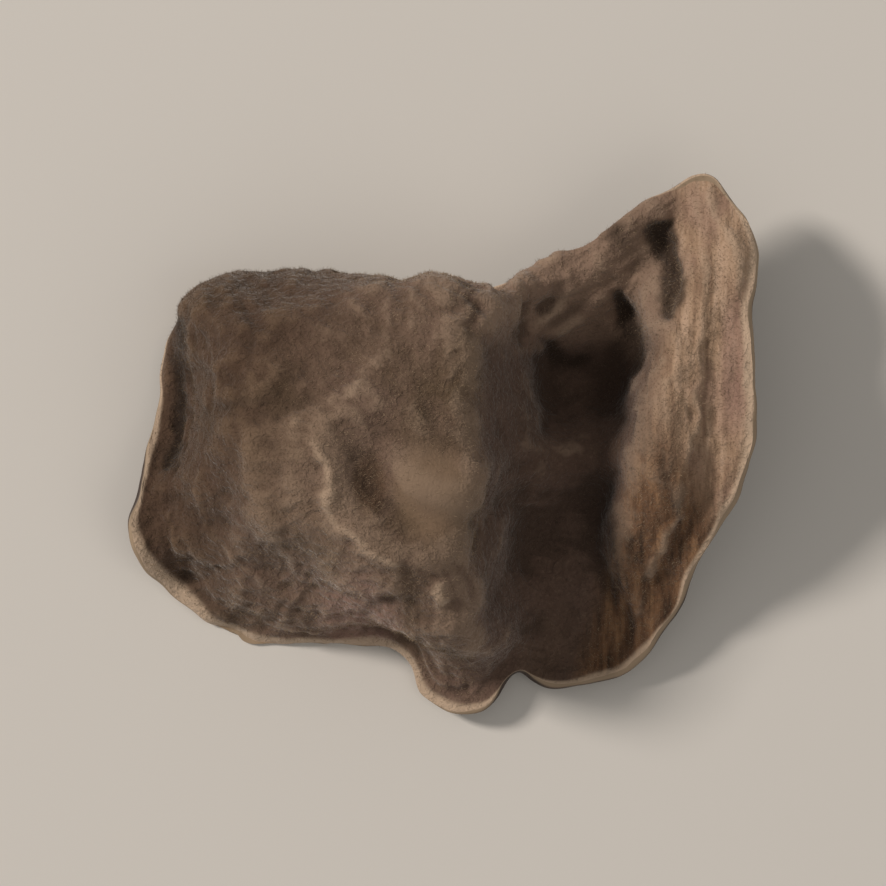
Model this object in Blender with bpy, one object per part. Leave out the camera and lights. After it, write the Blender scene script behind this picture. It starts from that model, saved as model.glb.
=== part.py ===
"""A dried wood ear: one thin, leathery fruit body that dried into a folded cap.

It lies with its velvety outer side up. Its large domed lobe is on the left, its flared lip is on the
right, and a deep fold runs between them. X runs across that fold, Y runs along it towards the notch,
and Z is up. The lengths here are in millimetres; make_ear turns them into metres.

The sheet's middle surface has two parts. The crown is a height over the plan. Around it, the skirt
runs down to the margin in smooth curves. The wall is then laid half on each side of that surface.
"""

import bpy
import numpy as np
from mathutils import Vector, noise

MM = 0.001

VELVET_COLOUR = "#66574c"

# The wall of the dried sheet, from its middle to its margin.
WALL_MIDDLE = 0.80
WALL_MARGIN = 0.42

# The margin, anticlockwise from the right, seen from above: x, y, its height, and the way that the
# sheet points there, in degrees below level: 90 is straight down, and less than 0 turns up.
MARGIN = (
    (12.2, 2.0, 5.7, -25),
    (12.2, 5.5, 5.5, -25),
    (11.9, 8.4, 5.0, -10),
    (10.4, 10.8, 4.4, 5),
    (8.4, 10.1, 4.1, 5),
    (6.4, 8.6, 3.4, 0),
    (4.6, 7.4, 2.6, 0),
    (2.6, 6.6, 2.0, 30),
    (-0.6, 6.6, 0.9, 80),
    (-4.2, 7.2, 1.2, 70),
    (-7.4, 7.2, 0.0, 90),
    (-10.0, 6.0, 0.3, 100),
    (-10.9, 3.4, 1.0, 40),
    (-11.1, 0.2, 1.6, -30),
    (-12.2, -2.9, 2.2, -30),
    (-11.0, -5.7, 0.9, 0),
    (-7.6, -7.6, 0.0, 20),
    (-3.8, -7.9, 0.3, 20),
    (-2.0, -8.3, 0.8, 20),
    (-0.7, -9.8, 1.0, -20),
    (1.3, -10.3, 1.3, -40),
    (2.7, -9.0, 1.5, -20),
    (4.6, -9.6, 1.3, -40),
    (6.9, -9.2, 1.3, -45),
    (8.8, -7.0, 2.2, -45),
    (10.8, -3.4, 4.0, -35),
    (12.0, -0.6, 5.3, -25),
)

# The crown reaches this far from the middle to the margin. The skirt is the rest.
CROWN_REACH = 0.70

# The large lobe and the flared lip: the plan position of each top, its height there, how fast it
# falls away along X and along Y, in millimetres for each square millimetre, and how far each leans
# over the fold, as a share of its height, around a place along X.
LARGE_LOBE = {"top": (-1.8, 0.5), "height": 7.8, "fall": (0.035, 0.045)}
FLARED_LIP = {"top": (13.0, 2.5), "height": 5.9, "fall": (0.03, 0.04)}
SHOULDER = {"towards": 225, "start": 3.0, "fall": 0.08}  # the large lobe slopes away on this side
LEANS = ({"by": 0.06, "x": 1.0, "half": 3.0}, {"by": -0.10, "x": 8.0, "half": 2.5})

# The deep fold between them: the foot of each flank, as places along X at the stations along Y, and
# the flank's rise over run.
FOLD_STATIONS = (-9.0, -6.0, -3.0, 0.0, 3.0, 6.0, 9.0, 12.0)
LARGE_FOOT = (3.4, 2.9, 3.0, 3.7, 4.1, 4.0, 4.0, 4.0)
LIP_FOOT = (7.2, 6.4, 6.2, 6.8, 7.7, 8.3, 8.6, 9.0)
LARGE_FLANK = 2.2
LIP_FLANK = 3.5

# The floor of the fold: its height, the two saddles that cross it, and the pit between them.
FOLD_FLOOR = 1.0
PINCH = {"y": -0.7, "height": 1.3, "half": 1.4}
NOTCH = {"y": 7.2, "height": 1.8, "half": 2.2}
PIT = {"centre": (5.9, 3.2), "depth": 0.4, "half": (1.4, 1.8)}

# The scar where the ear grew from the wood: a smooth pad, with a groove and a crescent ridge round
# one side of it.
SCAR = (-0.9, -1.0)
SCAR_SIDE = 200  # degrees anticlockwise from +X
PAD = {"height": 0.35, "half": (1.5, 2.2)}
GROOVE = {"radius": 1.9, "depth": 0.75, "half": 0.7}
CRESCENT = {"radius": 3.2, "height": 0.5, "half": 0.55}

# How the drying sheet moved: its buckles, as a size and a distance, and the pleats that run out from
# the scar, the creases and the wrinkles, with their depths across the sheet.
BUCKLES = ((8.0, 0.70), (3.2, 0.45))
PLEATS = 9
PLEAT_DEPTH = 0.12
PLEAT_START = 5.5
CREASE_SIZE, CREASE_DEPTH = 3.4, 0.75
WRINKLE_SIZE, WRINKLE_DEPTH = 1.7, 0.20

# Where the ear stands on the surface below it, in the plan: twice on its margin and twice on the
# underside of the fold's floor. Each foot is worn flat this deep.
FEET = ((-8.0, -7.0), (-8.0, 7.5), (5.5, -5.5), (5.6, 3.2))
FOOT_RADIUS = 2.5
FOOT_WEAR = 0.25

# The mesh: rings around the middle, each with SECTORS more points than the last.
RINGS = 28
SECTORS = 6
CROWN_RINGS = 0.52  # share of the rings that lies on the crown
OUTLINE_POINTS = 1024
OUTLINE_WAVES = 50
WALK_STEPS = 160

# How the sheet is kept off itself: bends of its middle tighter than this share of the tightest that
# its thickness allows are eased, and where a side of the wall shrinks to less than this share of the
# middle surface, it is smoothed.
EASING_PASSES = 60
TIGHTEST = 0.5
UNTANGLING_PASSES = 200
SMALLEST = 0.3


def bump(distance, width):
    """1 at distance 0, falling to 0 on both sides."""
    return np.exp(-((distance / width) ** 2))


def spot(x, y, centre, half):
    """1 in the middle of a soft oval spot, 0 well outside it."""
    return bump((x - centre[0]) / half[0], 1) * bump((y - centre[1]) / half[1], 1)


def step(distance, width):
    """Rises from 0 to 1 around distance 0."""
    return 0.5 + 0.5 * np.tanh(distance / width)


def lower(a, b, blend):
    """The lower of two heights, rounded where they cross."""
    return 0.5 * (a + b - np.sqrt((a - b) ** 2 + 4 * blend**2))


def higher(a, b, blend):
    """The higher of two heights, rounded where they cross."""
    return -lower(-a, -b, blend)


def fold_line(places, y):
    """A smooth line through places along X at the stations along Y."""
    weights = [bump(y - station, 2.2) for station in FOLD_STATIONS]
    return sum(w * place for w, place in zip(weights, places)) / sum(weights)


def lobe_top(lobe, x, y):
    across, along = x - lobe["top"][0], y - lobe["top"][1]
    return lobe["height"] - lobe["fall"][0] * across**2 - lobe["fall"][1] * along**2


def shoulder(x, y):
    """How far the large lobe falls on the side that slopes away."""
    angle = np.radians(SHOULDER["towards"])
    away = (x - LARGE_LOBE["top"][0]) * np.cos(angle) + (y - LARGE_LOBE["top"][1]) * np.sin(angle)
    return SHOULDER["fall"] * np.maximum(0, away - SHOULDER["start"]) ** 2


def scar_relief(x, y):
    across, along = x - SCAR[0], y - SCAR[1]
    radius = np.hypot(across, along)
    angle = np.degrees(np.arctan2(along, across)) % 360
    side = bump(angle - SCAR_SIDE, 65)
    crescent = CRESCENT["height"] * side * bump(radius - CRESCENT["radius"], CRESCENT["half"])
    groove = GROOVE["depth"] * side * bump(radius - GROOVE["radius"], GROOVE["half"])
    return crescent - groove + PAD["height"] * spot(x, y, SCAR, PAD["half"])


def height(x, y):
    """Height of the crown's middle surface over the plan."""
    floor = FOLD_FLOOR - PIT["depth"] * spot(x, y, PIT["centre"], PIT["half"])
    for saddle in (PINCH, NOTCH):
        floor = floor + saddle["height"] * bump(y - saddle["y"], saddle["half"])
    large_flank = floor + LARGE_FLANK * (fold_line(LARGE_FOOT, y) - x)
    lip_flank = floor + LIP_FLANK * (x - fold_line(LIP_FOOT, y))
    large = lower(lobe_top(LARGE_LOBE, x, y) - shoulder(x, y), large_flank, 0.25)
    lip = lower(lobe_top(FLARED_LIP, x, y), lip_flank, 0.35)
    return higher(higher(large, lip, 0.5), floor, 0.5) + scar_relief(x, y)


def slope(x, y, ex, ey):
    """Rise over run of the crown, in the plan direction (ex, ey)."""
    reach = 0.05
    rise = height(x + ex * reach, y + ey * reach) - height(x - ex * reach, y - ey * reach)
    return rise / (2 * reach)


def unrolled(x, y):
    """Distance along the crown from the line x = 0 to a point."""
    distance = np.zeros_like(x)
    for i in range(WALK_STEPS):
        distance += np.hypot(1, slope(x * (i + 0.5) / WALK_STEPS, y, 1, 0)) * x / WALK_STEPS
    return distance


def rolled_up(distance, y):
    """Place along X of a point that lies this far along the crown from the line x = 0."""
    x = np.zeros_like(distance)
    for _ in range(WALK_STEPS):
        x += distance / WALK_STEPS / np.hypot(1, slope(x, y, 1, 0))
    return x


def margin(share):
    """Rows of MARGIN on a smooth closed curve, at these shares of its length."""
    rows = np.array(MARGIN, float)

    def at(place):
        first = np.floor(place).astype(int)
        t = (place - first)[:, None]
        a, b, c, d = (rows[(first + i) % len(rows)] for i in (-1, 0, 1, 2))
        return b + 0.5 * t * (c - a + t * (2 * a - 5 * b + 4 * c - d + t * (3 * b - a - 3 * c + d)))

    places = np.linspace(0, len(rows), 2 * OUTLINE_POINTS)
    strides = np.linalg.norm(np.diff(at(places)[:, :2], axis=0), axis=1)
    lengths = np.concatenate([[0], np.cumsum(strides)])
    return at(np.interp(share * lengths[-1], lengths, places))


def inside(curve, out, around):
    """Points inside a closed curve. Each ring loses the curve's bends on its way in, the finest first."""
    waves = np.fft.fft(curve) / len(curve)
    points = np.zeros(len(out), complex)
    for k in range(-OUTLINE_WAVES, OUTLINE_WAVES + 1):
        points += waves[k] * out ** abs(k) * np.exp(2j * np.pi * k * around)
    return points


def skirt(x, y, end, share):
    """Points at a share of the way along curves that leave the crown at (x, y) and end at the margin."""
    run = np.hypot(end[:, 0] - x, end[:, 1] - y)
    ex, ey = (end[:, 0] - x) / run, (end[:, 1] - y) / run
    top = height(x, y)
    drop = top - end[:, 2]
    leaving = np.arctan(-slope(x, y, ex, ey))
    arriving = np.radians(end[:, 3])
    reach = 1.2 * np.hypot(run, drop)
    leave = share**3 - 2 * share**2 + share
    arrive = share**3 - share**2
    blend = 3 * share**2 - 2 * share**3
    forward = reach * (leave * np.cos(leaving) + arrive * np.cos(arriving)) + blend * run
    down = reach * (leave * np.sin(leaving) + arrive * np.sin(arriving)) + blend * drop
    return np.stack([x + ex * forward, y + ey * forward, top - down], axis=1)


def sheet(out, around):
    """The middle surface before it buckles, at these shares of the way out and round."""
    turns = np.arange(OUTLINE_POINTS) / OUTLINE_POINTS
    outline = margin(turns)[:, :2] @ (1, 1j)
    hinge = inside(outline, np.full(OUTLINE_POINTS, CROWN_REACH), turns)
    unrolled_hinge = unrolled(hinge.real, hinge.imag) + 1j * hinge.imag

    points = np.zeros((len(out), 3))
    crown = out <= CROWN_RINGS
    flat = inside(unrolled_hinge, out[crown] / CROWN_RINGS, around[crown])
    x, y = rolled_up(flat.real, flat.imag), flat.imag
    points[crown] = np.stack([x, y, height(x, y)], axis=1)

    rest = ~crown
    start = inside(hinge, np.ones(rest.sum()), around[rest])
    share = (out[rest] - CROWN_RINGS) / (1 - CROWN_RINGS)
    points[rest] = skirt(start.real, start.imag, margin(around[rest]), share)
    return points


def ring_disc(rings):
    """Points of a disc as shares of the way out and round, and its triangles."""
    out, around, faces = [0.0], [0.0], []
    inner_start = 0
    for ring in range(1, rings + 1):
        start, count = len(out), SECTORS * ring
        inner_count = max(1, count - SECTORS)
        out += [ring / rings] * count
        around += [i / count for i in range(count)]
        for i in range(count):
            sector, place = divmod(i, ring)
            inner = inner_start + (i - sector) % inner_count
            faces.append((inner, start + i, start + (i + 1) % count))
            if place < ring - 1:
                faces.append((inner, start + (i + 1) % count, inner_start + (i - sector + 1) % inner_count))
        inner_start = start
    return np.array(out), np.array(around), np.array(faces)


def edges_of(faces):
    return np.concatenate([faces[:, [0, 1]], faces[:, [1, 2]], faces[:, [2, 0]]])


def faces_across(points, faces):
    """Each face's normal, as long as twice its area."""
    a, b, c = (points[faces[:, i]] for i in range(3))
    return np.cross(b - a, c - a)


def normals_of(points, faces):
    normals = np.zeros_like(points)
    for corner in faces.T:
        np.add.at(normals, corner, faces_across(points, faces))
    return normals / np.linalg.norm(normals, axis=1)[:, None]


def noise_at(points, size, seed):
    """Smooth noise from -1 to 1, in lumps of this size."""
    place = Vector((seed, 2.7 * seed, -1.3 * seed))
    return np.array([noise.noise(Vector(p) / size + place) for p in points])


def ridges(points, size, seed, softness):
    """-1 to 0, with its crests along the lines where smooth noise is 0."""
    return -np.sqrt(noise_at(points, size, seed) ** 2 + softness)


def buckled(points):
    """The lobe and the lip lean over the fold, and the whole sheet buckles a little."""
    x, y, z = points.T
    lean = sum(flank["by"] * bump(x - flank["x"], flank["half"]) for flank in LEANS)
    points = np.stack([x + lean * (z - 1), y, z], axis=1)
    wander = np.zeros_like(points)
    for number, (size, distance) in enumerate(BUCKLES):
        for axis in range(3):
            wander[:, axis] += distance * noise_at(points, size, 1 + axis + 0.4 * number)
    wander[:, 2] *= np.clip(z / 3, 0, 1)
    return points + wander


def relief(points):
    """How far the sheet stands out along its normals: pleats around the scar, creases and wrinkles."""
    x, y, _ = points.T
    radius = np.hypot(x - SCAR[0], y - SCAR[1])
    angle = np.arctan2(y - SCAR[1], x - SCAR[0])
    wave = np.sin(PLEATS * angle + 2.5 * noise_at(points, 5.0, 3.0))
    pleats = (1 - 2 * np.sqrt(wave**2 + 0.12)) * step(radius - PLEAT_START, 1.5)
    pleats *= np.clip(0.35 + 1.4 * noise_at(points, 6.0, 11.0), 0, 1) * (1 - 0.8 * step(x - 0.5, 2.0))
    creases = ridges(points, CREASE_SIZE, 23.0, 0.01)
    wrinkles = ridges(points, WRINKLE_SIZE, 37.0, 0.02)
    return PLEAT_DEPTH * pleats + CREASE_DEPTH * creases + WRINKLE_DEPTH * wrinkles


def wall(out):
    return WALL_MIDDLE + (WALL_MARGIN - WALL_MIDDLE) * out**3


def among_neighbours(points, faces):
    """The mean of each point's neighbours. The margin's points have theirs on the margin only."""
    a, b = edges_of(faces).T
    mean = np.zeros_like(points)
    np.add.at(mean, a, points[b])
    np.add.at(mean, b, points[a])
    mean /= np.bincount(np.concatenate([a, b]), minlength=len(points))[:, None]
    edge = points[-SECTORS * RINGS:]
    mean[-SECTORS * RINGS:] = (np.roll(edge, 1, axis=0) + np.roll(edge, -1, axis=0)) / 2
    return mean


def eased(points, faces, thickness):
    """Opens the creases that are too tight for the sheet's own thickness."""
    a, b = edges_of(faces).T
    for _ in range(EASING_PASSES):
        normals = normals_of(points, faces)
        length = np.linalg.norm(points[a] - points[b], axis=1)
        bend = np.linalg.norm(normals[a] - normals[b], axis=1) / length
        tightest = np.zeros(len(points))
        np.maximum.at(tightest, a, bend)
        np.maximum.at(tightest, b, bend)
        pull = np.clip(tightest * thickness / 2 - TIGHTEST, 0, 0.5)[:, None]
        points = points + pull * (among_neighbours(points, faces) - points)
    return points


def untangled(side, middle, faces):
    """Smooths a side of the wall where it would shrink to nothing or turn over."""
    across = faces_across(middle, faces)
    a, b = edges_of(faces).T
    for _ in range(UNTANGLING_PASSES):
        share = (faces_across(side, faces) * across).sum(1) / (across**2).sum(1)
        moved = np.zeros(len(side))
        moved[faces[share < SMALLEST]] = 0.5
        for _ in range(2):
            wider = moved.copy()
            np.maximum.at(wider, a, moved[b])
            np.maximum.at(wider, b, moved[a])
            moved = wider
        side = side + moved[:, None] * (among_neighbours(side, faces) - side)
    return side


def middle_surface():
    out, around, faces = ring_disc(RINGS)
    points = buckled(sheet(out, around))
    points = points + normals_of(points, faces) * relief(points)[:, None]
    return eased(points, faces, wall(out)), out, faces


def settled(points):
    """Levels the ear on its feet, and wears each foot flat where it meets the surface below."""
    lowest = []
    for foot in FEET:
        near = points[np.hypot(points[:, 0] - foot[0], points[:, 1] - foot[1]) < FOOT_RADIUS]
        lowest.append(near[near[:, 2].argmin()])
    lowest = np.array(lowest)
    level = np.linalg.lstsq(np.c_[lowest[:, :2], np.ones(len(FEET))], lowest[:, 2], rcond=None)[0]
    points = points.copy()
    points[:, 2] -= points[:, :2] @ level[:2] + level[2]
    ground = (lowest[:, 2] - lowest[:, :2] @ level[:2] - level[2]).max() + FOOT_WEAR
    points[:, 2] = np.maximum(points[:, 2], ground) - ground
    return points


def ear_mesh():
    middle, out, faces = middle_surface()
    half = normals_of(middle, faces) * wall(out)[:, None] / 2
    count = len(middle)
    edge = np.arange(count - SECTORS * RINGS, count)
    following = np.roll(edge, -1)
    rim = np.concatenate([
        np.stack([following, edge, edge + count], axis=1),
        np.stack([following, edge + count, following + count], axis=1),
    ])
    sides = [untangled(middle + offset, middle, faces) for offset in (half, -half)]
    points = settled(np.concatenate(sides))
    points[:, :2] -= (points.min(0) + points.max(0))[:2] / 2
    return points, np.concatenate([faces, faces[:, ::-1] + count, rim])


def linear(colour):
    """An sRGB hex colour as linear RGBA."""
    parts = [int(colour[i:i + 2], 16) / 255 for i in (1, 3, 5)]
    return [c / 12.92 if c <= 0.04045 else ((c + 0.055) / 1.055) ** 2.4 for c in parts] + [1.0]


def dried_velvet():
    """The matte, grey-brown outer side of the dried sheet."""
    material = bpy.data.materials.new("dried_velvet")
    material.use_nodes = True
    shader = material.node_tree.nodes["Principled BSDF"]
    shader.inputs["Base Color"].default_value = linear(VELVET_COLOUR)
    shader.inputs["Roughness"].default_value = 0.9
    shader.inputs["Metallic"].default_value = 0.0
    return material


def make_ear():
    points, faces = ear_mesh()
    mesh = bpy.data.meshes.new("fruit_body")
    mesh.from_pydata((points * MM).tolist(), [], faces.tolist())
    mesh.materials.append(dried_velvet())
    mesh.update()
    mesh.shade_smooth()
    ear = bpy.data.objects.new("fruit_body", mesh)
    bpy.context.scene.collection.objects.link(ear)


for old in list(bpy.data.objects):
    bpy.data.objects.remove(old)
make_ear()
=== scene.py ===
"""The looks of one dried wood ear: a felted, grey-brown outer side over a smooth dark inner side.

The ear's shape comes from the frame's solid. It is made four times finer twice, creased and wrinkled
as a shrunken sheet is, and covered with short hairs. Lengths are in millimetres where a name or a
comment doesn't say otherwise.
"""
import heapq

import bpy
import numpy as np
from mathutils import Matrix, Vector, noise
from mathutils.kdtree import KDTree


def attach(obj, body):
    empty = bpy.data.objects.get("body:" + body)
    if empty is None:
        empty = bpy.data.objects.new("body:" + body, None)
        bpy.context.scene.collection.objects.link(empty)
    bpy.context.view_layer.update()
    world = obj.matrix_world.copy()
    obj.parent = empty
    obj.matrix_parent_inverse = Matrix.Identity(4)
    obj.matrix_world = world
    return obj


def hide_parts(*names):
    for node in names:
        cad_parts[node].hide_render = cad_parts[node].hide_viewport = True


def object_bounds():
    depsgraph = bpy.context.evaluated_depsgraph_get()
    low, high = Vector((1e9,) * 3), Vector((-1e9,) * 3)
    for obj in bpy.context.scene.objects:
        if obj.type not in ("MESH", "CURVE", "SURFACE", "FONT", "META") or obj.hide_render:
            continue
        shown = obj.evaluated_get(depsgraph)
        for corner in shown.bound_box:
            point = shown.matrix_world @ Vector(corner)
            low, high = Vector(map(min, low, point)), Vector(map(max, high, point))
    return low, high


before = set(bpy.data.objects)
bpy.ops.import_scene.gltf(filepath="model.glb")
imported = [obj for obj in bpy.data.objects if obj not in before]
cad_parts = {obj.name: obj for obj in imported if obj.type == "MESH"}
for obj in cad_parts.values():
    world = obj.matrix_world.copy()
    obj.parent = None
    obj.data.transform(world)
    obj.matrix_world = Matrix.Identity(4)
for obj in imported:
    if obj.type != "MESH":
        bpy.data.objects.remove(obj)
cad_box = [list(corner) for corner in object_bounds()]

MM = 0.001

# ---------------------------------------------------------------- the ear's places

# The scar where the ear grew from the wood. Its rays run out from it, and its spots and lines are
# placed from it, in the plan.
SCAR = (-1.1, -1.25)

# Ovals with a soft edge. The smooth pad by the scar, and the groove beside it that painted shade
# darkens, are only on the large lobe's top, which begins at the first of two heights and is whole from
# the second.
PAD = {"from_scar": (0.6, -0.6), "half": (1.5, 2.0)}
PIT = {"from_scar": (-1.75, -0.4), "half": (0.7, 1.3)}
TOP = (3.0, 5.0)

# A pale bloom beyond the groove, and the rosy places at the lobe's foot and along the lip's margin.
BLOOM = {"from_scar": (-4.4, 0.3), "half": (2.7, 2.5)}
BLUSHES = (
    {"from_scar": (-2.1, -5.5), "half": (1.6, 1.8)},
    {"from_scar": (12.4, 4.6), "half": (0.55, 2.6)},
)

# The flared lip begins at this X, further on by the slant for each millimetre of Y up to the last, and
# is whole a width further on. It darkens to amber towards its foot, from one X + slant * Y to another.
LIP = {"start": 7.0, "width": 1.2, "slant": 0.25, "last_y": 5.0}
LIP_DARKENS = {"slant": 0.6, "from": 10.2, "to": 7.8}

# The floor of the fold begins at this X, at the foot of the large lobe's flank, and painted shade
# darkens it. Its end from this Y on is the notch, which is more crumpled than the rest, and paler: it
# has less painted shade and a pale tint that is painted light.
FOLD = {"start": 1.1, "width": 0.9}
NOTCH = {"start": 3.0, "width": 2.0, "crumpled": 1.2, "paler": 0.8}

# The large lobe is darker, and a little olive, along this way in the plan: a painted shade, as the place
# times the way goes from one value to the other.
FAR_SIDE_SHADE = {"way": (-0.65, 0.25), "from": 2.0, "to": 6.2}

# How much of the relief is smoothed away.
SMOOTHNESS = {"pad": 0.85, "lip": 0.4, "fold": 0.3}

# ---------------------------------------------------------------- the sizes of the relief

LOOP_ROUNDS = 2
MARGIN_PASSES = 90  # in each, the distance from the margin spreads to the next points
BEYOND_REACH = 20.0  # the distance from the margin of a point that no pass reaches
SIDES_BLEND = 2  # passes that soften the change from one side's relief to the other's

# A pattern is given as the size of its lumps or lines, how deep or how far it goes, and its seed,
# which moves it through the noise along this way.
SEED_WAY = (1.0, 2.7, -1.3)

# The crumples go through the sheet, so that both sides show them. They are deeper in some patches.
CRUMPLES = ((2.9, 0.30, 60.0), (1.4, 0.17, 61.0))
CRUMPLES_WIND = (1.1, 0.40, 55.0)
CRUMPLED_PATCHES = {"size": 4.0, "seed": 51.0, "middle": 0.55, "least": 0.15, "most": 1.0}
FOLD_EDGE_WANDERS = (3.0, 0.25, 99.0)

# Along the margin, in from it by the reach, the sheet is frilled, and thinner.
FRILL = {"size": 1.2, "by": 0.16, "seed": 93.0, "reach": 0.9}
MARGIN_THINNED = {"by": 0.11, "reach": 0.40}

# The fine relief of the outer side. A ray's width is a share of its distance from the scar, and the rays
# come up between two such distances. The ripples follow the margin, and have their length at this
# radius from the scar. The streaks run along the lip.
SHRINKAGE = ((0.80, 0.075, 64.0), (0.42, 0.045, 65.0))
SHRINKAGE_WINDS = (0.55, 0.20, 67.0)
PUCKERS = (0.22, 0.015, 71.0)
RAYS = {"around": 0.075, "along": 3.2, "depth": 0.07, "seed": 75.0, "from": 2.0, "to": 5.0}
RAYS_SWAY = (1.5, 0.05, 73.0)
RIPPLES = {"across": 0.62, "along": 3.2, "at_radius": 8.0, "depth": 0.16, "seed": 78.0, "reach": 2.6}
RIPPLES_SWAY = (1.6, 0.5, 77.0)
STREAKS = {"across": 0.50, "along": 4.5, "down": 2.0, "depth": 0.06, "seed": 87.0}
STREAKS_SWAY = (2.0, 0.5, 85.0)
DEEPEST = 0.16  # no relief of one side goes deeper, as the wall is thin

# The inner side's veins.
VEINS = ((1.9, 0.10, 81.0), (0.8, 0.03, 83.0))

# The crests of a pattern of lines: their height over its middle, how steeply they fall, and how round
# their tops are.
CREST_HEIGHT, CREST_FALL = 0.55, 2
CREST_ROUNDNESS = {"outer": 0.003, "inner": 0.01}

# How far in from the margin each relief, and the hairs, come up.
COMES_UP = {"crumples": 0.5, "lines": 0.5, "outer": 0.6, "inner": 0.7, "hairs": 0.35}

# The ridges and creases that this ear is known by: their height, half their width, and their course
# in the plan, from the scar.
LINES = (
    # The pale crescent round the groove, and the fleck at the lobe's foot.
    (0.28, 0.18, ((-3.9, 1.3), (-3.4, 0.3), (-3.35, -1.0), (-2.8, -2.0), (-1.8, -2.8), (-0.6, -3.3))),
    (0.55, 0.20, ((0.95, -4.3), (1.1, -4.8))),
    # The low ridges that follow it further out, and those on the lobe's upper half.
    (0.12, 0.15, ((-4.6, 2.1), (-4.8, 0.2), (-4.3, -1.5), (-3.3, -2.9), (-2.0, -3.9))),
    (0.12, 0.14, ((-6.4, 1.0), (-6.1, -0.7), (-5.4, -2.4), (-4.3, -3.7), (-2.9, -4.6))),
    (0.15, 0.14, ((-8.5, -0.6), (-7.8, -2.3), (-6.5, -3.6), (-4.8, -4.7), (-3.1, -5.4))),
    (0.14, 0.14, ((-9.5, -1.8), (-8.7, -3.5), (-7.3, -4.8), (-5.3, -5.7), (-3.4, -6.1))),
    (0.10, 0.35, ((-6.6, 1.2), (-5.0, 2.1), (-2.9, 2.9), (-0.9, 3.6), (0.7, 4.5))),
    (0.10, 0.16, ((-2.5, 2.9), (-1.3, 4.6), (-1.0, 6.2), (-1.3, 7.4))),
    (0.10, 0.15, ((1.8, 2.6), (1.3, 4.2), (1.4, 5.8), (1.1, 7.2))),
    # The ridges of the notch.
    (0.20, 0.32, ((4.6, 5.8), (5.8, 6.9), (6.9, 7.7), (7.6, 8.6))),
    (0.10, 0.30, ((8.0, 7.9), (8.7, 7.4), (9.1, 6.2), (9.5, 5.3))),
    (0.16, 0.24, ((4.0, 7.4), (5.0, 7.9), (5.8, 8.8))),
    (0.16, 0.24, ((3.4, 4.6), (4.6, 5.0), (5.8, 5.9), (6.6, 6.2))),
    # The creases of the lobe.
    (-0.10, 0.25, ((-8.6, 2.3), (-7.4, 2.6), (-5.7, 3.1), (-4.0, 4.0))),
    (-0.10, 0.22, ((-7.0, 7.0), (-6.3, 5.6), (-6.5, 4.2))),
    (-0.22, 0.30, ((-9.3, 6.0), (-9.2, 3.8), (-9.3, 1.8), (-9.6, 0.0))),
    (-0.10, 0.20, ((-4.0, -3.7), (-2.3, -4.8), (-0.6, -4.9), (0.8, -4.1))),
    # The hooked crease by the lip and the hollow beside it, and the creases of the notch.
    (-0.48, 0.42, ((9.5, 9.4), (9.8, 8.4), (10.0, 7.5), (9.8, 6.2))),
    (-0.16, 0.55, ((7.9, 9.3), (8.7, 8.2))),
    (-0.28, 0.30, ((7.9, 7.0), (8.2, 6.2), (8.45, 5.4), (8.7, 4.2))),
    (-0.25, 0.30, ((5.1, 5.2), (5.7, 4.4), (6.5, 4.5))),
    # The ridge along the lip, and those along its margin, whose pale colour is a painted highlight.
    (0.16, 0.20, ((11.0, 10.8), (11.3, 8.0), (11.1, 4.6), (10.8, 1.6), (10.1, -1.4), (8.9, -4.4))),
    (0.20, 0.20, ((11.3, 11.2), (11.8, 9.8), (12.5, 8.6), (12.8, 7.3), (12.9, 5.4), (12.8, 3.2))),
    (0.14, 0.18, ((12.8, 2.2), (12.3, 0.2), (11.5, -1.8))),
)
LINE_STEPS = 6  # from one point of a course to the next
LINES_WANDER = ((1.2, 0.28, 91.0), (0.38, 0.13, 91.4))
LINES_FADE = {"size": 1.8, "seed": 97.0, "middle": 0.9, "least": 0.4, "most": 1.2}

# ---------------------------------------------------------------- what the colours follow

# A ridge is palest, and a crease darkest with painted shade, from this height and depth on. The power
# keeps low ridges plain.
PALE_RIDGE = {"full": 0.28, "power": 1.6}
DARK_CREASE = 0.22

# Small and broad bumps stand out from the mean over so many passes, and are full at this height.
SMALL_BUMPS = {"passes": 16, "full": 0.12}
BROAD_BUMPS = {"passes": 60, "full": 0.35}

# The colour's rays are noise of this scale on a cylinder, with this radius, and this height for each
# millimetre from the scar.
COLOUR_RAYS = {"radius": 6.0, "height": 0.25, "scale": 3.0}

# The pale rim fades between two shares of its width. It is wider on the lip, and widens at the lower
# left, as Y and X go from the first to the second of these places; that widening is painted light, where
# the margin curls up into it.
RIM_WIDTH = 0.20
RIM_FADES = (0.4, 1.2)
RIM_LEAST_FADE = 0.02
RIM_VARIES = (1.8, 1.2, 95.0)
RIM_WIDENS = {"by": 2.3, "y": (-2.0, -5.5), "x": (2.0, -1.0)}

# The hairs of the outer side. Real ones are several times thinner, too fine to show.
HAIRS_PER_SQUARE_MM = 85
HAIR_LENGTH = (0.08, 0.19)
HAIR_WIDTH = 0.016
HAIR_LEAN = 1.4  # at most, along each axis, for 1 straight up
HAIR_SIDES = 3
LOWEST_HAIR = 0.25  # the height at which they begin, and they are all there from twice this height on
HAIRS_LOST = {"pad": 0.9, "fold": 0.35}  # the share of them that is worn off there
HAIR_SEEDS = {"places": 5, "ways": 1, "lengths": 2}

# The sizes of the lumps in the colours.
FELT_PATCHES, FELT_MOTTLE, FELT_WRINKLES = 5.0, 1.3, 0.5
FELT_FIBRES = 0.13  # real fibres are finer, and are drawn this coarse to show
LIP_GRAIN, LIP_ROSE = 1.0, 2.4
LIP_GRAIN_NARROWED = (3.0, 0.35, 1.0)  # along X, Y and Z, so that it is long along the lip
SKIN_PATCHES, SKIN_GRAIN = 4.0, 0.35
HAIR_SHADES = 0.5

# ---------------------------------------------------------------- the studio's sizes, in metres

# The photograph is square, and looks straight down.
CAMERA_HEIGHT = 0.60
NEAREST_SEEN = 0.01
SHARE_OF_FRAME = 0.72
SENSOR_WIDTH = 36.0  # millimetres

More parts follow.
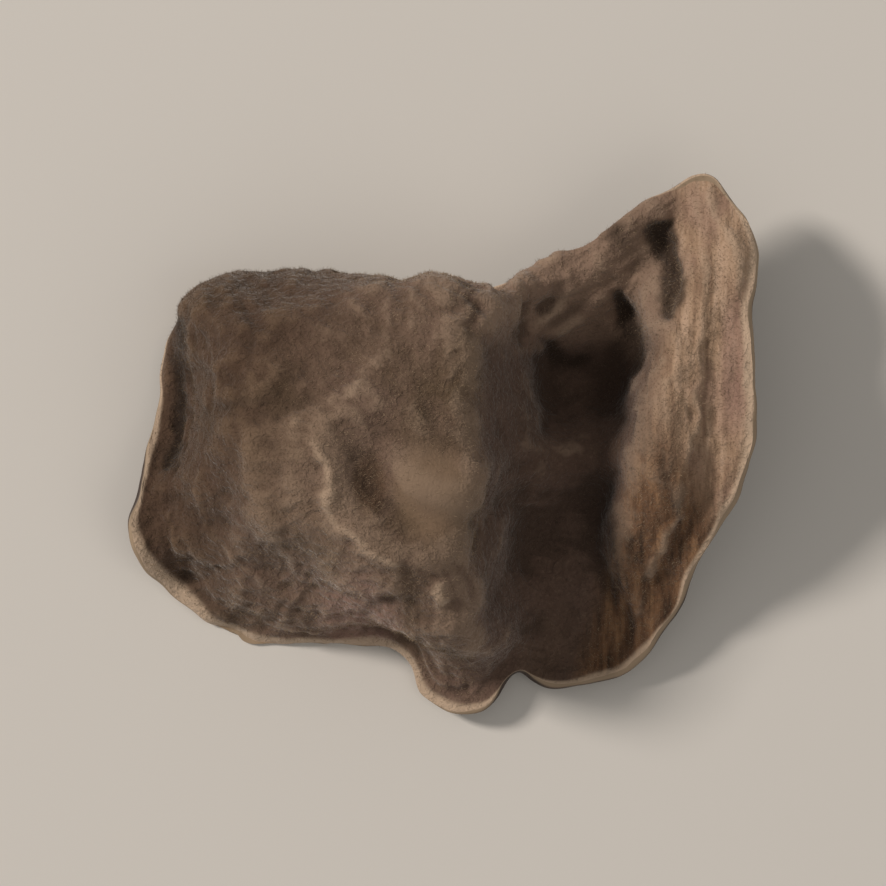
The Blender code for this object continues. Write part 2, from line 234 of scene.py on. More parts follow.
FLOOR = {"size": 3.0, "colour": "#dbd9d6", "roughness": 0.9}
KEY_LIGHT = {"place": (-0.56, 0.26, 0.42), "size": 0.14, "power": 4.2, "colour": "#fff4e8"}
FILL_LIGHT = {"place": (0.45, -0.35, 0.60), "size": 0.60, "power": 0.8, "colour": "#fff4e6"}
SURROUNDINGS = {"colour": "#f4efe8", "strength": 0.30}


# ---------------------------------------------------------------- the sheet


def solid_mesh(node):
    """Points and triangles of a CAD node, with its loose triangles joined."""
    mesh = node.data
    mesh.calc_loop_triangles()
    corners = np.empty(3 * len(mesh.vertices))
    mesh.vertices.foreach_get("co", corners)
    triangles = np.empty(3 * len(mesh.loop_triangles), int)
    mesh.loop_triangles.foreach_get("vertices", triangles)
    points, place = np.unique(np.round(corners.reshape(-1, 3) / MM, 4), axis=0, return_inverse=True)
    faces = place.ravel()[triangles].reshape(-1, 3)
    whole = (faces != np.roll(faces, 1, axis=1)).all(1)
    return points, faces[whole]


def edges_of(faces):
    """Each face's three edges, as pairs of points."""
    return np.concatenate([faces[:, [0, 1]], faces[:, [1, 2]], faces[:, [2, 0]]])


def faces_across(points, faces):
    """Each face's normal, as long as twice its area."""
    a, b, c = (points[faces[:, i]] for i in range(3))
    return np.cross(b - a, c - a)


def unit(vectors):
    """The same directions, with a length of 1."""
    return vectors / np.linalg.norm(vectors, axis=1)[:, None]


def normals_of(points, faces):
    """Each point's normal."""
    normals = np.zeros_like(points)
    across = faces_across(points, faces)
    for corner in faces.T:
        np.add.at(normals, corner, across)
    return unit(normals)


def outer_side(points, faces):
    """Which faces are on the outer side.

    Both sides spread from the top of the ear, over the smoothest edges first, and meet at the margin.
    """
    across = unit(faces_across(points, faces))
    middles = points[faces].mean(1)
    looks_up, looks_down = across[:, 2] > 0.9, across[:, 2] < -0.7
    top = int(np.argmax(np.where(looks_up, middles[:, 2], -1)))
    away = np.linalg.norm(middles - middles[top], axis=1)
    below = int(np.argmin(np.where(looks_down, away, np.inf)))

    owners = {}
    for face, corners in enumerate(faces.tolist()):
        for i in range(3):
            owners.setdefault(frozenset((corners[i], corners[i - 1])), []).append(face)
    neighbours = [[] for _ in faces]
    for pair in owners.values():
        for one, other in (pair, pair[::-1]):
            neighbours[one].append(other)

    inner, outer, unreached = 0, 1, -1
    side = np.full(len(faces), unreached)
    queue = [(0.0, top, outer), (0.0, below, inner)]
    while queue:
        turn, face, name = heapq.heappop(queue)
        if side[face] != unreached:
            continue
        side[face] = name
        for other in neighbours[face]:
            if side[other] == unreached:
                bend = 1 - float(across[face] @ across[other])
                heapq.heappush(queue, (max(turn, bend), other, name))
    return side == outer


def finer(points, faces):
    """One round of Loop subdivision: each triangle becomes four, and the surface is smoothed.

    A new point is 3/8 of each end of its edge and 1/8 of each corner across it. An old one keeps 5/8
    of its place, as where six edges meet.
    """
    pairs, place = np.unique(np.sort(edges_of(faces), axis=1), axis=0, return_inverse=True)
    place = place.ravel()
    opposite = faces[:, [2, 0, 1]].T.ravel()
    across = np.zeros((len(pairs), 3))
    np.add.at(across, place, points[opposite])
    middles = 3 / 8 * points[pairs].sum(1) + 1 / 8 * across

    around = np.zeros_like(points)
    np.add.at(around, pairs[:, 0], points[pairs[:, 1]])
    np.add.at(around, pairs[:, 1], points[pairs[:, 0]])
    count = np.bincount(pairs.ravel(), minlength=len(points))[:, None]
    kept = 5 / 8 * points + 3 / 8 * around / count

    a, b, c = faces.T
    ab, bc, ca = place.reshape(3, -1) + len(points)
    quarters = [(a, ab, ca), (ab, b, bc), (ca, bc, c), (ab, bc, ca)]
    return np.concatenate([kept, middles]), np.concatenate([np.stack(q, axis=1) for q in quarters])


def distance_from(start, points, faces):
    """Distance over the surface from the marked points, as far as the passes reach."""
    a, b = edges_of(faces).T
    length = np.linalg.norm(points[a] - points[b], axis=1)
    distance = np.where(start, 0.0, BEYOND_REACH)
    for _ in range(MARGIN_PASSES):
        np.minimum.at(distance, a, distance[b] + length)
        np.minimum.at(distance, b, distance[a] + length)
    return distance


def blurred(values, faces, passes):
    """Values, or points, each replaced by the mean of its neighbours in every pass."""
    a, b = edges_of(faces).T
    count = np.bincount(a, minlength=len(values)).reshape((-1,) + (1,) * (values.ndim - 1))
    for _ in range(passes):
        mean = np.zeros_like(values)
        np.add.at(mean, a, values[b])
        values = mean / count
    return values


# ---------------------------------------------------------------- patterns and places


def noise_at(points, size, seed):
    """Smooth noise from -1 to 1, in lumps of this size."""
    place = Vector([step * seed for step in SEED_WAY])
    return np.array([noise.noise(Vector(p) / size + place) for p in points])


def noise_vectors(points, size, seed):
    """Smooth noise along each axis by itself."""
    return np.stack([noise_at(points, size, seed + axis) for axis in range(3)], axis=1)


def wander(points, pattern):
    """Shifts that make another pattern's lines wind."""
    size, distance, seed = pattern
    return distance * noise_vectors(points, size, seed)


def crests(points, size, seed, roundness):
    """From about -0.5 to 0.5, with narrow crests."""
    return CREST_HEIGHT - CREST_FALL * np.sqrt(noise_at(points, size, seed) ** 2 + roundness)


def patchy(points, patches):
    """A strength that differs from one patch to the next."""
    strength = patches["middle"] + noise_at(points, patches["size"], patches["seed"])
    return np.clip(strength, patches["least"], patches["most"])


def toward(distance, width):
    """Rises from 0 to 1 over the first stretch of a distance."""
    return 1 - np.exp(-((distance / width) ** 2))


def rising(value, start, end):
    """Goes from 0 at the start to 1 at the end, smoothly."""
    share = np.clip((value - start) / (end - start), 0, 1)
    return share * share * (3 - 2 * share)


def polar(points):
    """Plan distance from the scar, and the angle round it."""
    x, y = points[:, 0] - SCAR[0], points[:, 1] - SCAR[1]
    return np.hypot(x, y), np.arctan2(y, x)


def on_spot(points, spot):
    """1 on a soft-edged oval in the plan, 0 off it."""
    x, y = ((points[:, i] - SCAR[i] - spot["from_scar"][i]) / spot["half"][i] for i in range(2))
    return np.exp(-((x * x + y * y) ** 2))


def on_top_spot(points, spot):
    """1 on a soft-edged oval on the large lobe's top, 0 off it."""
    return on_spot(points, spot) * rising(points[:, 2], *TOP)


def on_lip(points):
    """1 on the flared lip, 0 elsewhere."""
    start = LIP["start"]
    from_slant = points[:, 0] - LIP["slant"] * np.minimum(points[:, 1], LIP["last_y"])
    return rising(from_slant, start, start + LIP["width"])


def in_fold(points):
    """1 on the floor of the fold, 0 on the lobe and the lip."""
    size, distance, seed = FOLD_EDGE_WANDERS
    x = points[:, 0] + distance * noise_at(points, size, seed)
    return rising(x, FOLD["start"], FOLD["start"] + FOLD["width"]) * (1 - on_lip(points))


def in_notch(points):
    """1 on the crumpled end of the fold, 0 elsewhere."""
    return in_fold(points) * rising(points[:, 1], NOTCH["start"], NOTCH["start"] + NOTCH["width"])


# ---------------------------------------------------------------- the relief


def smooth_line(course):
    """Points close together on a smooth curve through the points of a course."""
    course = np.array(course)
    ends = np.concatenate([[2 * course[0] - course[1]], course, [2 * course[-1] - course[-2]]])
    t = np.linspace(0, 1, LINE_STEPS, endpoint=False)[:, None]
    stretches = []
    for a, b, c, d in zip(ends, ends[1:], ends[2:], ends[3:]):
        cubed = 3 * b - a - 3 * c + d
        squared = 2 * a - 5 * b + 4 * c - d + t * cubed
        stretches.append(b + 0.5 * t * (c - a + t * squared))
    return np.concatenate(stretches)


def line_relief(points):
    """How far each point stands out on the lines that run over the ear."""
    plan = points[:, :2]
    for pattern in LINES_WANDER:
        plan = plan + wander(points, pattern)[:, :2]
    relief = np.zeros(len(points))
    for height, half, course in LINES:
        away = np.full(len(points), np.inf)
        line = smooth_line(course) + SCAR
        for start, step in zip(line, np.diff(line, axis=0)):
            share = np.clip((plan - start) @ step / (step @ step), 0, 1)
            away = np.minimum(away, ((plan - start - share[:, None] * step) ** 2).sum(1))
        relief += height * np.exp(-away / half**2)
    return relief * patchy(points, LINES_FADE)


def crumple_relief(points, margin):
    """How far the crumples make the whole sheet stand out on its outer side."""
    winding = points + wander(points, CRUMPLES_WIND)
    patches = patchy(points, CRUMPLED_PATCHES)
    relief = 0
    for size, depth, seed in CRUMPLES:
        relief = relief + depth * crests(winding, size, seed, CREST_ROUNDNESS["outer"]) * patches
    calm = 1 - SMOOTHNESS["pad"] * on_top_spot(points, PAD)
    calm *= 1 - SMOOTHNESS["fold"] * in_fold(points)
    calm *= (1 - SMOOTHNESS["lip"] * on_lip(points)) * (1 + NOTCH["crumpled"] * in_notch(points))
    return relief * calm * toward(margin, COMES_UP["crumples"])


def outer_relief(points, margin):
    """How far the outer side stands out by itself."""
    roundness = CREST_ROUNDNESS["outer"]
    radius, angle = polar(points)
    lip = on_lip(points)
    winding = points + wander(points, SHRINKAGE_WINDS)
    size, depth, seed = PUCKERS
    relief = depth * noise_at(points, size, seed)
    for size, depth, seed in SHRINKAGE:
        relief = relief + depth * crests(winding, size, seed, roundness)

    turn = np.stack([np.cos(angle), np.sin(angle)], axis=1)
    place = np.concatenate([turn / RAYS["around"], radius[:, None] / RAYS["along"]], axis=1)
    place = place + wander(points, RAYS_SWAY) / RAYS["around"]
    rays = crests(place, 1.0, RAYS["seed"], roundness) * rising(radius, RAYS["from"], RAYS["to"])
    relief = relief + RAYS["depth"] * rays * (1 - lip)

    across = (margin / RIPPLES["across"])[:, None]
    place = np.concatenate([across, RIPPLES["at_radius"] * turn / RIPPLES["along"]], axis=1)
    ripples = crests(place + wander(points, RIPPLES_SWAY), 1.0, RIPPLES["seed"], roundness)
    relief = relief + RIPPLES["depth"] * ripples * np.exp(-margin / RIPPLES["reach"]) * (1 - lip)

    place = points / (STREAKS["across"], STREAKS["along"], STREAKS["down"])
    streaks = crests(place + wander(points, STREAKS_SWAY), 1.0, STREAKS["seed"], roundness)
    relief = relief * (1 - SMOOTHNESS["lip"] * lip) + STREAKS["depth"] * streaks * lip

    relief = relief * (1 - SMOOTHNESS["pad"] * on_top_spot(points, PAD))
    relief = relief * (1 - SMOOTHNESS["fold"] * in_fold(points))
    relief = np.where(relief < 0, DEEPEST * np.tanh(relief / DEEPEST), relief)
    return relief * toward(margin, COMES_UP["outer"])


def inner_relief(points, margin):
    """How far the inner side stands out by itself."""
    relief = 0
    for size, depth, seed in VEINS:
        relief = relief + depth * crests(points, size, seed, CREST_ROUNDNESS["inner"])
    return relief * toward(margin, COMES_UP["inner"])


def carried_through(vectors, points, outer):
    """The outer points' vectors, and at each other point that of the nearest outer point."""
    tree = KDTree(int(outer.sum()))
    for index in np.flatnonzero(outer):
        tree.insert(points[index], index)
    tree.balance()
    nearest = np.arange(len(points))
    for index in np.flatnonzero(~outer):
        nearest[index] = tree.find(points[index])[1]
    return vectors[nearest]


def standing_out(points, faces, normals, passes, full):
    """From -1 in hollows to 1 on bumps."""
    out = ((points - blurred(points, faces, passes)) * normals).sum(1)
    return np.clip(out / full, -1, 1)


def painted_values(points, faces, margin, outer_share, lines):
    """What the materials and the hairs read at each point."""
    x, y, height = points.T
    normals = normals_of(points, faces)
    radius, angle = polar(points)
    ray_x, ray_y = COLOUR_RAYS["radius"] * np.cos(angle), COLOUR_RAYS["radius"] * np.sin(angle)
    lip, fold, notch = on_lip(points), in_fold(points), in_notch(points)
    pad = on_top_spot(points, PAD)

    size, share, seed = RIM_VARIES
    rim_width = RIM_WIDTH * (1 + share * noise_at(points, size, seed) + lip)
    # The widening at the lower left is painted light.
    rim_width += RIM_WIDENS["by"] * RIM_WIDTH * rising(y, *RIM_WIDENS["y"]) * rising(x, *RIM_WIDENS["x"])
    fade_start, fade_end = RIM_FADES[0] * rim_width, RIM_FADES[1] * rim_width + RIM_LEAST_FADE

    hairiness = outer_share * toward(margin, COMES_UP["hairs"])
    hairiness *= rising(height, LOWEST_HAIR, 2 * LOWEST_HAIR)
    hairiness *= (1 - HAIRS_LOST["pad"] * pad) * (1 - HAIRS_LOST["fold"] * fold)
    return {
        "rim": 1 - rising(margin, fade_start, fade_end),
        "rays": np.stack([ray_x, ray_y, COLOUR_RAYS["height"] * radius], axis=1),
        "lines": outer_share * np.clip(lines / PALE_RIDGE["full"], 0, 1) ** PALE_RIDGE["power"],
        # The creases, darkened with painted shade.
        "crease_shade": outer_share * np.clip(-lines / DARK_CREASE, 0, 1),
        "pad": pad,
        # The groove beside the pad, darkened with painted shade.
        "pit": on_top_spot(points, PIT),
        "bloom": on_spot(points, BLOOM),
        "blush": sum(on_spot(points, spot) for spot in BLUSHES),
        # The fold, darkened with painted shade, less so in the notch, which has a painted light.
        "fold": fold - NOTCH["paler"] * notch,
        "notch": notch,
        "lip": lip,
        "lip_foot": rising(x + LIP_DARKENS["slant"] * y, LIP_DARKENS["from"], LIP_DARKENS["to"]),
        # The large lobe's far side, darkened with painted shade.
        "far_side_shade": rising(
            FAR_SIDE_SHADE["way"][0] * x + FAR_SIDE_SHADE["way"][1] * y, FAR_SIDE_SHADE["from"], FAR_SIDE_SHADE["to"]
        ),
        "hairiness": hairiness,
        # Painted shade darkens the hollows that these find.
        "standing": standing_out(points, faces, normals, **SMALL_BUMPS),
        "broad_standing": standing_out(points, faces, normals, **BROAD_BUMPS),
    }


def ear_sheet(node):
    """The fine sheet: its points, faces, the faces of its outer side, and values for each point."""
    points, faces = solid_mesh(node)
    outer = outer_side(points, faces)
    for _ in range(LOOP_ROUNDS):
        points, faces = finer(points, faces)
        outer = np.tile(outer, 4)
    is_outer, is_inner = np.zeros(len(points), bool), np.zeros(len(points), bool)
    is_outer[faces[outer]] = True
    is_inner[faces[~outer]] = True
    margin = distance_from(is_outer & is_inner, points, faces)
    outer_share = blurred(is_outer.astype(float), faces, SIDES_BLEND)

    frill = FRILL["by"] * np.exp(-margin / FRILL["reach"])
    points = points + frill[:, None] * noise_vectors(points, FRILL["size"], FRILL["seed"])
    lines = line_relief(points)
    through = crumple_relief(points, margin) + lines * toward(margin, COMES_UP["lines"])
    moved = carried_through(normals_of(points, faces) * through[:, None], points, is_outer)
    points = points + blurred(moved, faces, 1)

    relief = outer_share * outer_relief(points, margin)
    relief += (1 - outer_share) * inner_relief(points, margin)
    relief -= MARGIN_THINNED["by"] * np.exp(-((margin / MARGIN_THINNED["reach"]) ** 2))
    points = points + normals_of(points, faces) * relief[:, None]
    points[:, 2] = np.maximum(points[:, 2], 0)
    return points, faces, outer, painted_values(points, faces, margin, outer_share, lines)


def mesh_object(name, points, faces, values):
    """An object of these triangles, with the values as attributes of its points."""
    mesh = bpy.data.meshes.new(name)
    mesh.from_pydata((points * MM).tolist(), [], faces.tolist())
    for key, value in values.items():
        kind, field = ("FLOAT", "value") if value.ndim == 1 else ("FLOAT_VECTOR", "vector")
        attribute = mesh.attributes.new(key, kind, "POINT")
        attribute.data.foreach_set(field, value.astype(np.float32).ravel())
    mesh.update()
    mesh.shade_smooth()
    made = bpy.data.objects.new(name, mesh)
    bpy.context.scene.collection.objects.link(made)
    return made


# ---------------------------------------------------------------- materials


def linear(colour):
    """An sRGB hex colour as linear RGBA."""
    parts = [int(colour[i:i + 2], 16) / 255 for i in (1, 3, 5)]
    return [c / 12.92 if c <= 0.04045 else ((c + 0.055) / 1.055) ** 2.4 for c in parts] + [1.0]


def add(tree, kind, inputs=(), stops=(), **settings):
    """Adds a node to a tree. Its inputs, by name or number, get a value or another node's output, its
    colour ramp gets stops as (place, hex colour), and the settings are its own properties."""
    node = tree.nodes.new(kind)
    for key, value in settings.items():
        setattr(node, key, value)
    for place, value in dict(inputs).items():
        if isinstance(value, bpy.types.NodeSocket):
            tree.links.new(value, node.inputs[place])
        else:
            node.inputs[place].default_value = value
    for number, (place, colour) in enumerate(stops):
        elements = node.color_ramp.elements
        element = elements[number] if number < len(elements) else elements.new(place)
        element.position = place
        element.color = linear(colour)
    return node


# A colour mix's sockets go by number, as the same names come again for its other kinds of value.
SHARE, UNDER, OVER, MIXED = 0, 6, 7, 2

# The whole range of an attribute.
WHOLE = (0.0, 1.0)


def layered(tree, colour, *layers):
    """Lays tints over a colour, one after the other.

    A layer is what it follows, which is an output or an attribute's name, the range in which it
    follows it, its share of the colour at the range's two ends, and its tint.
    """
    for follows, (low, high), (share_at_low, share_at_high), tint in layers:
        if isinstance(follows, str):
            follows = add(tree, "ShaderNodeAttribute", attribute_name=follows).outputs["Fac"]
        share = add(tree, "ShaderNodeMapRange", {
            "Value": follows, "From Min": low, "From Max": high,
            "To Min": share_at_low, "To Max": share_at_high,
        }, interpolation_type="SMOOTHSTEP").outputs["Result"]
        colour = add(tree, "ShaderNodeMix", {
            SHARE: share, UNDER: colour, OVER: linear(tint),
        }, data_type="RGBA").outputs[MIXED]
    return colour


def new_material(name):
    """A new material and its tree of nodes."""
    material = bpy.data.materials.new(name)
    material.use_nodes = True
    return material, material.node_tree


def finished(material, colour, relief, depth, strength, values):
    """Ends a material in its shader, with a bump of this depth, and returns it."""
    tree = material.node_tree
    shader = tree.nodes["Principled BSDF"]
    bump = add(tree, "ShaderNodeBump", {"Height": relief, "Distance": depth * MM, "Strength": strength})
    tree.links.new(colour, shader.inputs["Base Color"])
    tree.links.new(bump.outputs["Normal"], shader.inputs["Normal"])
    for name, value in values.items():
        shader.inputs[name].default_value = value
    return material


def dried_felt():
    """The outer side's felt of short hairs, dried grey-brown. It scatters light like suede, has no
    gloss, is paler where it stands proud and on the lip, and has painted shade in its furrows, hollows,
    groove and fold, and on the large lobe's far side."""
    material, tree = new_material("dried_felt")
    own = add(tree, "ShaderNodeTexCoord").outputs["Object"]
    patches = add(tree, "ShaderNodeTexNoise", {
        "Vector": own, "Scale": 1 / (FELT_PATCHES * MM), "Detail": 3.0,
    }).outputs["Fac"]
    mottle = add(tree, "ShaderNodeTexNoise", {
        "Vector": own, "Scale": 1 / (FELT_MOTTLE * MM), "Detail": 4.0, "Roughness": 0.6,
    }).outputs["Fac"]
    fibres = add(tree, "ShaderNodeTexNoise", {
        "Vector": own, "Scale": 1 / (FELT_FIBRES * MM), "Detail": 3.0, "Roughness": 0.7,
    }).outputs["Fac"]
    rays = add(tree, "ShaderNodeTexNoise", {
        "Vector": add(tree, "ShaderNodeAttribute", attribute_name="rays").outputs["Vector"],
        "Scale": COLOUR_RAYS["scale"], "Detail": 5.0, "Roughness": 0.65,
    }).outputs["Fac"]

    colour = add(
        tree, "ShaderNodeValToRGB", {"Fac": patches},
        [(0.28, "#5c4b39"), (0.50, "#655145"), (0.74, "#6c574e")],
    ).outputs["Color"]
    colour = layered(
        tree, colour,
        (mottle, (0.38, 0.68), (0.0, 0.45), "#7e6859"),
        (rays, (0.50, 0.72), (0.0, 0.30), "#47362b"),
        # Painted shade in the fold, and a painted light over the notch.
        ("fold", WHOLE, (0.0, 0.60), "#523f36"),
        ("notch", WHOLE, (0.0, 0.75), "#8c7565"),
    )
    colour = add(tree, "ShaderNodeMix", {
        SHARE: add(tree, "ShaderNodeAttribute", attribute_name="lip").outputs["Fac"],
        UNDER: colour, OVER: lip_colour(tree, own),
    }, data_type="RGBA").outputs[MIXED]
    colour = layered(
        tree, colour,
        ("bloom", WHOLE, (0.0, 0.30), "#98836f"),
        ("blush", WHOLE, (0.0, 0.60), "#93756b"),
        ("pad", WHOLE, (0.0, 0.60), "#927a63"),
        # Painted shade in the groove.
        ("pit", WHOLE, (0.0, 0.60), "#523b24"),
        (fibres, (0.50, 0.75), (0.0, 0.25), "#907b69"),
        # Painted shade in the small hollows, and paler small bumps.
        ("standing", (-1.0, -0.1), (0.35, 0.0), "#33251b"),
        ("standing", (0.2, 1.0), (0.0, 0.35), "#a08b78"),
        # Pale ridges; those along the lip's margin are a painted highlight.
        ("lines", WHOLE, (0.0, 0.60), "#b8a28d"),
        # Painted shade in the creases.
        ("crease_shade", WHOLE, (0.0, 0.80), "#2c2016"),
        # Painted shade in the broad hollows, and a little paler broad bumps.
        ("broad_standing", (-1.0, -0.3), (0.35, 0.0), "#33271f"),
        ("broad_standing", (0.2, 1.0), (0.0, 0.15), "#917b69"),
    )
    # Painted shade, a little olive, over the large lobe's far side.
    colour = add(tree, "ShaderNodeMix", {
        SHARE: add(tree, "ShaderNodeAttribute", attribute_name="far_side_shade").outputs["Fac"],
        UNDER: colour, OVER: linear("#b8aea0"),
    }, data_type="RGBA", blend_type="MULTIPLY").outputs[MIXED]
    # The pale rim, which is painted light where it widens at the lower left.
    colour = layered(tree, colour, ("rim", WHOLE, (0.0, 0.80), "#c4ae98"))

    relief = add(
        tree, "ShaderNodeMath", {0: fibres, 1: felt_wrinkles(tree, own)}, operation="ADD"
    ).outputs["Value"]
    return finished(material, colour, relief, depth=0.05, strength=0.6, values={
        "Roughness": 0.92, "IOR": 1.40, "Sheen Weight": 0.25, "Sheen Roughness": 0.45,
    })


def lip_colour(tree, own):
    """Cream with fine streaks along the lip and rosy patches, and amber brown towards its foot."""
    narrowed = add(
        tree, "ShaderNodeVectorMath", {0: own, 1: LIP_GRAIN_NARROWED}, operation="MULTIPLY"
    ).outputs["Vector"]
    grain = add(tree, "ShaderNodeTexNoise", {
        "Vector": narrowed, "Scale": 1 / (LIP_GRAIN * MM), "Detail": 4.0, "Roughness": 0.6,
    }).outputs["Fac"]
    rose = add(tree, "ShaderNodeTexNoise", {
        "Vector": own, "Scale": 1 / (LIP_ROSE * MM), "Detail": 2.0,
    }).outputs["Fac"]
    cream = add(
        tree, "ShaderNodeValToRGB", {"Fac": grain},
        [(0.34, "#8a705c"), (0.48, "#a48972"), (0.64, "#b89d87")],
    ).outputs["Color"]
    amber = add(
        tree, "ShaderNodeValToRGB", {"Fac": grain},
        [(0.36, "#463223"), (0.52, "#684b35"), (0.66, "#86664a")],
    ).outputs["Color"]
    return add(tree, "ShaderNodeMix", {
        SHARE: add(tree, "ShaderNodeAttribute", attribute_name="lip_foot").outputs["Fac"],
        UNDER: layered(tree, cream, (rose, (0.48, 0.66), (0.0, 0.50), "#94776a")),
        OVER: amber,
    }, data_type="RGBA").outputs[MIXED]


def felt_wrinkles(tree, own):
    """Narrow crests, at 1, between smooth hollows. They are nearly gone on the pad."""
    ripple = add(tree, "ShaderNodeTexNoise", {
        "Vector": own, "Scale": 1 / (FELT_WRINKLES * MM), "Detail": 3.0, "Roughness": 0.55,
    }).outputs["Fac"]
    middle = 0.5
    off = add(tree, "ShaderNodeMath", {0: ripple, 1: middle}, operation="SUBTRACT").outputs["Value"]
    away = add(tree, "ShaderNodeMath", {0: off}, operation="ABSOLUTE").outputs["Value"]
    crest = add(tree, "ShaderNodeMapRange", {
        "Value": away, "From Min": 0.0, "From Max": 0.12, "To Min": 1.0, "To Max": 0.0,
    }, interpolation_type="SMOOTHSTEP").outputs["Result"]
    off_pad = add(tree, "ShaderNodeMapRange", {
        "Value": add(tree, "ShaderNodeAttribute", attribute_name="pad").outputs["Fac"],
        "From Min": 0.0, "From Max": 1.0, "To Min": 1.0, "To Max": 0.1,
    }, interpolation_type="SMOOTHSTEP").outputs["Result"]
    return add(tree, "ShaderNodeMath", {0: crest, 1: off_pad}, operation="MULTIPLY").outputs["Value"]


def dried_skin():
    """The smooth inner side that bore the spores, dried nearly black like thin hide, with a low
    gloss and faint veins."""
    material, tree = new_material("dried_skin")
    own = add(tree, "ShaderNodeTexCoord").outputs["Object"]
    patches = add(tree, "ShaderNodeTexNoise", {
        "Vector": own, "Scale": 1 / (SKIN_PATCHES * MM), "Detail": 3.0,
    }).outputs["Fac"]
    grain = add(tree, "ShaderNodeTexNoise", {
        "Vector": own, "Scale": 1 / (SKIN_GRAIN * MM), "Detail": 3.0, "Roughness": 0.6,
    }).outputs["Fac"]
    colour = add(
        tree, "ShaderNodeValToRGB", {"Fac": patches},
        [(0.30, "#2a211d"), (0.55, "#382c27"), (0.75, "#463831")],
    ).outputs["Color"]
    colour = layered(
        tree, colour,
        (grain, (0.45, 0.75), (0.0, 0.35), "#55463d"),
        # Painted shade in the inner side's hollows.
        ("standing", (-0.9, 0.0), (0.60, 0.0), "#191310"),
        ("rim", WHOLE, (0.0, 0.80), "#a9947c"),
    )
    return finished(material, colour, grain, depth=0.03, strength=0.5, values={
        "Roughness": 0.55, "IOR": 1.45,
    })


def dried_hair():
    """One hair of the felt: dull, pale grey-brown, and darker with the felt's painted shade in the fold
    and on the large lobe's far side.
    """
    material, tree = new_material("dried_hair")
    shade = add(tree, "ShaderNodeTexNoise", {
        "Vector": add(tree, "ShaderNodeTexCoord").outputs["Object"],
        "Scale": 1 / (HAIR_SHADES * MM), "Detail": 2.0,
    }).outputs["Fac"]
    colour = add(
        tree, "ShaderNodeValToRGB", {"Fac": shade}, [(0.35, "#77654f"), (0.65, "#a8947c")]
    ).outputs["Color"]
    # The felt's painted shade, on the far side and in the fold.
    colour = add(tree, "ShaderNodeMix", {
        SHARE: add(tree, "ShaderNodeAttribute", attribute_name="far_side_shade").outputs["Fac"],
        UNDER: colour, OVER: linear("#a89e90"),
    }, data_type="RGBA", blend_type="MULTIPLY").outputs[MIXED]
    colour = layered(tree, colour, ("fold", WHOLE, (0.0, 0.70), "#4e3f39"))
    return finished(material, colour, shade, depth=0.01, strength=0.1, values={
        "Roughness": 0.85, "IOR": 1.45,
    })


# ---------------------------------------------------------------- the hairs


def hair_tree(material):
    """Scatters hairs over a mesh, more of them where it is hairy, each leaning its own way."""
    tree = bpy.data.node_groups.new("felt_hairs", "GeometryNodeTree")
    sockets = tree.interface
    sockets.new_socket("Geometry", in_out="INPUT", socket_type="NodeSocketGeometry")
    for name in ("Hairs per square metre", "Shortest", "Longest", "Width", "Lean"):
        sockets.new_socket(name, in_out="INPUT", socket_type="NodeSocketFloat")
    sockets.new_socket("Seed", in_out="INPUT", socket_type="NodeSocketInt")
    sockets.new_socket("Geometry", in_out="OUTPUT", socket_type="NodeSocketGeometry")

    given = add(tree, "NodeGroupInput").outputs
    hairy = add(tree, "GeometryNodeInputNamedAttribute", {"Name": "hairiness"}, data_type="FLOAT")
    density = add(tree, "ShaderNodeMath", {
        0: hairy.outputs["Attribute"], 1: given["Hairs per square metre"],
    }, operation="MULTIPLY").outputs["Value"]
    points = add(tree, "GeometryNodeDistributePointsOnFaces", {
        "Mesh": given["Geometry"], "Density": density, "Seed": given["Seed"],
    }).outputs

    # A random value has its sockets for vectors first and those for numbers next, by the same names.
    any_way = add(tree, "FunctionNodeRandomValue", {
        0: (-1.0, -1.0, -1.0), 1: (1.0, 1.0, 1.0), "Seed": HAIR_SEEDS["ways"],
    }, data_type="FLOAT_VECTOR").outputs[0]
    length = add(tree, "FunctionNodeRandomValue", {
        2: given["Shortest"], 3: given["Longest"], "Seed": HAIR_SEEDS["lengths"],
    }, data_type="FLOAT").outputs[1]
    lean = add(
        tree, "ShaderNodeVectorMath", {0: any_way, "Scale": given["Lean"]}, operation="SCALE"
    ).outputs["Vector"]
    way = add(
        tree, "ShaderNodeVectorMath", {0: points["Normal"], 1: lean}, operation="ADD"
    ).outputs["Vector"]
    turn = add(tree, "FunctionNodeAlignRotationToVector", {"Vector": way}, axis="Z").outputs["Rotation"]
    size = add(tree, "ShaderNodeCombineXYZ", {
        "X": given["Width"], "Y": given["Width"], "Z": length,
    }).outputs["Vector"]

    # Every hair is a pointed cone 1 wide and 1 long, scaled to its own width and length.
    hair = add(tree, "GeometryNodeMeshCone", {
        "Vertices": HAIR_SIDES, "Side Segments": 1,
        "Radius Top": 0.0, "Radius Bottom": 0.5, "Depth": 1.0,
    }, fill_type="NONE").outputs["Mesh"]
    spread = add(tree, "GeometryNodeInstanceOnPoints", {
        "Points": points["Points"], "Instance": hair, "Rotation": turn, "Scale": size,
    }).outputs["Instances"]
    real = add(tree, "GeometryNodeRealizeInstances", {"Geometry": spread}).outputs["Geometry"]
    painted = add(tree, "GeometryNodeSetMaterial", {"Geometry": real, "Material": material})
    add(tree, "NodeGroupOutput", {"Geometry": painted.outputs["Geometry"]})
    return tree


